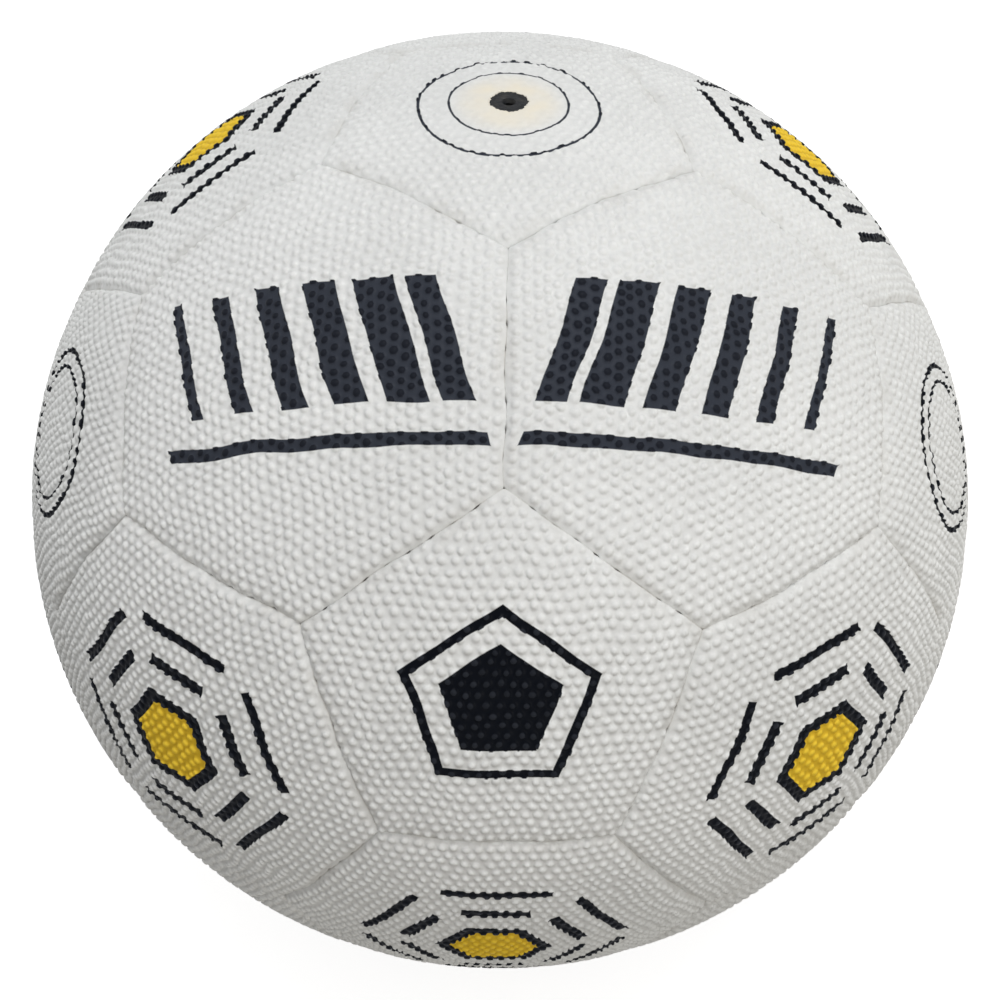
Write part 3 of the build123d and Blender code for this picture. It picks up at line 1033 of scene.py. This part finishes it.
class NETBALL_OT_linings(bpy.types.Operator):
    """Gives the linings their woven cloth"""

    bl_idname = "netball.linings"
    bl_label = "Linings"

    def execute(self, context):
        made, tree, shader = new_material("woven_lining", specular_ior_level=0.2)
        where = node(tree, "ShaderNodeTexCoord").outputs["Object"]
        inputs = {"Vector": where, "Scale": 260.0, "Distortion": 1.0}
        ways = [node(tree, "ShaderNodeTexWave", inputs, bands_direction=way) for way in ("X", "Y", "Z")]
        weave = largest(tree, *[w.outputs["Fac"] for w in ways])
        cloth = paint(context.scene.netball_colours.lining)
        dark = paint([0.6 * v for v in context.scene.netball_colours.lining])
        worn = step(tree, noise(tree, 90.0), 0.2, 0.7, 0.7, 1.0)
        shade = maths(tree, "MULTIPLY", step(tree, weave, 0.2, 0.9), worn)
        rough = maths(tree, "MULTIPLY_ADD", weave, -0.15, 0.95)
        finish(tree, shader, blend(tree, shade, dark, cloth), rough, weave, 0.6, 0.2 * MM)
        for name in ("pentagon_linings", "hexagon_linings"):
            dress(name, made)
        return {"FINISHED"}


class NETBALL_OT_threads(bpy.types.Operator):
    """Gives the seam threads their waxed strands"""

    bl_idname = "netball.threads"
    bl_label = "Seam threads"

    def execute(self, context):
        made, tree, shader = new_material("waxed_thread", specular_ior_level=0.4)
        strands = noise(tree, 2400.0, 3.0)
        thread = paint(context.scene.netball_colours.thread)
        dark = paint([0.55 * v for v in context.scene.netball_colours.thread])
        shade = step(tree, strands, 0.3, 0.65)
        rough = maths(tree, "MULTIPLY_ADD", strands, 0.2, 0.5)
        finish(tree, shader, blend(tree, shade, dark, thread), rough, strands, 0.5, 0.1 * MM)
        for name in ("pentagon_seam_threads", "hexagon_seam_threads"):
            dress(name, made)
        return {"FINISHED"}


class NETBALL_OT_bladder(bpy.types.Operator):
    """Gives the bladder its dusted butyl rubber"""

    bl_idname = "netball.bladder"
    bl_label = "Bladder"

    def execute(self, context):
        made, tree, shader = new_material("bladder_rubber", specular_ior_level=0.4)
        dust = step(tree, noise(tree, 60.0, 4.0), 0.4, 0.75, 0.0, 0.35)
        butyl = paint(context.scene.netball_colours.bladder)
        talc = paint(context.scene.netball_colours.thread)
        rough = maths(tree, "MULTIPLY_ADD", dust, 0.9, 0.4)
        grain = noise(tree, 900.0, 2.0)
        finish(tree, shader, blend(tree, dust, butyl, talc), rough, grain, 0.3, 0.1 * MM)
        dress("bladder", made)
        return {"FINISHED"}


class NETBALL_OT_valve(bpy.types.Operator):
    """Gives the valve its moulded black rubber"""

    bl_idname = "netball.valve"
    bl_label = "Valve"

    def execute(self, context):
        made, tree, shader = new_material("valve_rubber", specular_ior_level=0.25)
        dust = step(tree, noise(tree, 500.0, 4.0), 0.5, 0.8, 0.0, 0.07)
        moulded = paint(context.scene.netball_colours.valve)
        dirt = paint(context.scene.netball_colours.dirt)
        rough = maths(tree, "MULTIPLY_ADD", noise(tree, 800.0), 0.3, 0.4)
        grain = noise(tree, 1500.0, 3.0)
        finish(tree, shader, blend(tree, dust, moulded, dirt), rough, grain, 0.6, 0.2 * MM)
        for name in ("valve_boot", "valve_insert"):
            dress(name, made)
        return {"FINISHED"}


def seen_rays(tree):
    """One where the camera, a reflection or a clear piece looks, and zero for plain light."""
    path = node(tree, "ShaderNodeLightPath").outputs
    return largest(tree, path["Is Camera Ray"], path["Is Glossy Ray"], path["Is Transmission Ray"])


def plane(context, name, size, height):
    """A flat square at a height."""
    half = size / 2
    mesh = bpy.data.meshes.new(name)
    points = [(-half, -half, height), (half, -half, height), (half, half, height), (-half, half, height)]
    mesh.from_pydata(points, [], [(0, 1, 2, 3)])
    made = bpy.data.objects.new(name, mesh)
    context.scene.collection.objects.link(made)
    return made


class NETBALL_OT_stage(bpy.types.Operator):
    """Sets the floor, the light and the camera"""

    bl_idname = "netball.stage"
    bl_label = "Stage"

    def execute(self, context):
        settings = context.scene.netball_stage
        sizes = context.scene.netball_sizes
        floor = plane(context, "floor", FLOOR_WIDTH, -BALL_RADIUS - FLOOR_DEPTH * sizes.pimple_height)
        floor.data.materials.append(self.floor_material(context.scene.netball_colours))
        key, fill, left, right = (
            self.light(context, name, getattr(settings, power), *details)
            for name, (power, *details) in LIGHTS.items()
        )
        camera = self.camera(context, settings)
        self.world(context, settings)
        context.scene.view_settings.view_transform = "Standard"
        return {"FINISHED"}

    def floor_material(self, colours):
        """Pale paper, lifted to white where it is seen in full light, and dark for what it throws back."""
        made, tree, shader = new_material("floor_paper", roughness=0.9, specular_ior_level=0.1)
        seen = seen_rays(tree)
        shader.inputs["Emission Color"].default_value = paint(WHITE)
        tree.links.new(maths(tree, "MULTIPLY", seen, FLOOR_GLOW), shader.inputs["Emission Strength"])
        paper = blend(tree, seen, paint(FLOOR_BOUNCE), paint(colours.floor))
        tree.links.new(paper, shader.inputs["Base Color"])
        return made

    def light(self, context, name, power, size, place, colour):
        """A soft round light, aimed at the ball."""
        data = bpy.data.lights.new(name, "AREA")
        data.shape = "DISK"
        data.size = size
        data.energy = power
        data.color = colour
        made = bpy.data.objects.new(name, data)
        made.location = place
        made.rotation_euler = Vector(place).to_track_quat("Z", "Y").to_euler()
        context.scene.collection.objects.link(made)
        return made

    def camera(self, context, settings):
        """The camera, aimed at the ball's centre."""
        data = bpy.data.cameras.new("camera")
        data.lens = settings.lens
        data.clip_start = NEAR_CLIP
        made = bpy.data.objects.new("camera", data)
        e, a = settings.elevation, settings.azimuth
        back = Vector((math.cos(e) * math.sin(a), -math.cos(e) * math.cos(a), math.sin(e)))
        turn = back.to_track_quat("Z", "Y").to_matrix() @ Matrix.Rotation(settings.roll, 3, "Z")
        made.matrix_world = Matrix.Translation(back * settings.distance * BALL_RADIUS) @ turn.to_4x4()
        context.scene.collection.objects.link(made)
        context.scene.camera = made
        return made

    def world(self, context, settings):
        """Even light from all around, white where it is seen."""
        made = bpy.data.worlds.new("studio")
        made.use_nodes = True
        tree = made.node_tree
        background = tree.nodes["Background"]
        background.inputs["Color"].default_value = paint(WHITE)
        strength = maths(tree, "MAXIMUM", seen_rays(tree), settings.surround)
        tree.links.new(strength, background.inputs["Strength"])
        context.scene.world = made


class NETBALL_PT_panel(bpy.types.Panel):
    """Lists the netball's steps and settings"""

    bl_idname = "NETBALL_PT_panel"
    bl_label = "Netball"
    bl_space_type = "VIEW_3D"
    bl_region_type = "UI"
    bl_category = "Netball"

    def draw(self, context):
        for step_class in OPERATORS:
            self.layout.operator(step_class.bl_idname)
        for settings in SETTINGS:
            box = self.layout.box()
            group_of = getattr(context.scene, settings)
            for key in group_of.bl_rna.properties.keys():
                if key not in ("rna_type", "name"):
                    box.prop(group_of, key)


SETTINGS = {
    "netball_sizes": NetballSizes,
    "netball_colours": NetballColours,
    "netball_stage": NetballStage,
}
OPERATORS = (
    NETBALL_OT_hexagons,
    NETBALL_OT_pentagons,
    NETBALL_OT_linings,
    NETBALL_OT_threads,
    NETBALL_OT_bladder,
    NETBALL_OT_valve,
    NETBALL_OT_stage,
)


def register():
    for made in (*SETTINGS.values(), *OPERATORS, NETBALL_PT_panel):
        bpy.utils.register_class(made)
    for key, made in SETTINGS.items():
        setattr(bpy.types.Scene, key, PointerProperty(type=made))


def unregister():
    for key in SETTINGS:
        delattr(bpy.types.Scene, key)
    for made in (NETBALL_PT_panel, *reversed(OPERATORS), *SETTINGS.values()):
        bpy.utils.unregister_class(made)


def main():
    register()
    bpy.ops.netball.hexagons()
    bpy.ops.netball.pentagons()
    bpy.ops.netball.linings()
    bpy.ops.netball.threads()
    bpy.ops.netball.bladder()
    bpy.ops.netball.valve()
    bpy.ops.netball.stage()


if __name__ == "__main__":
    main()
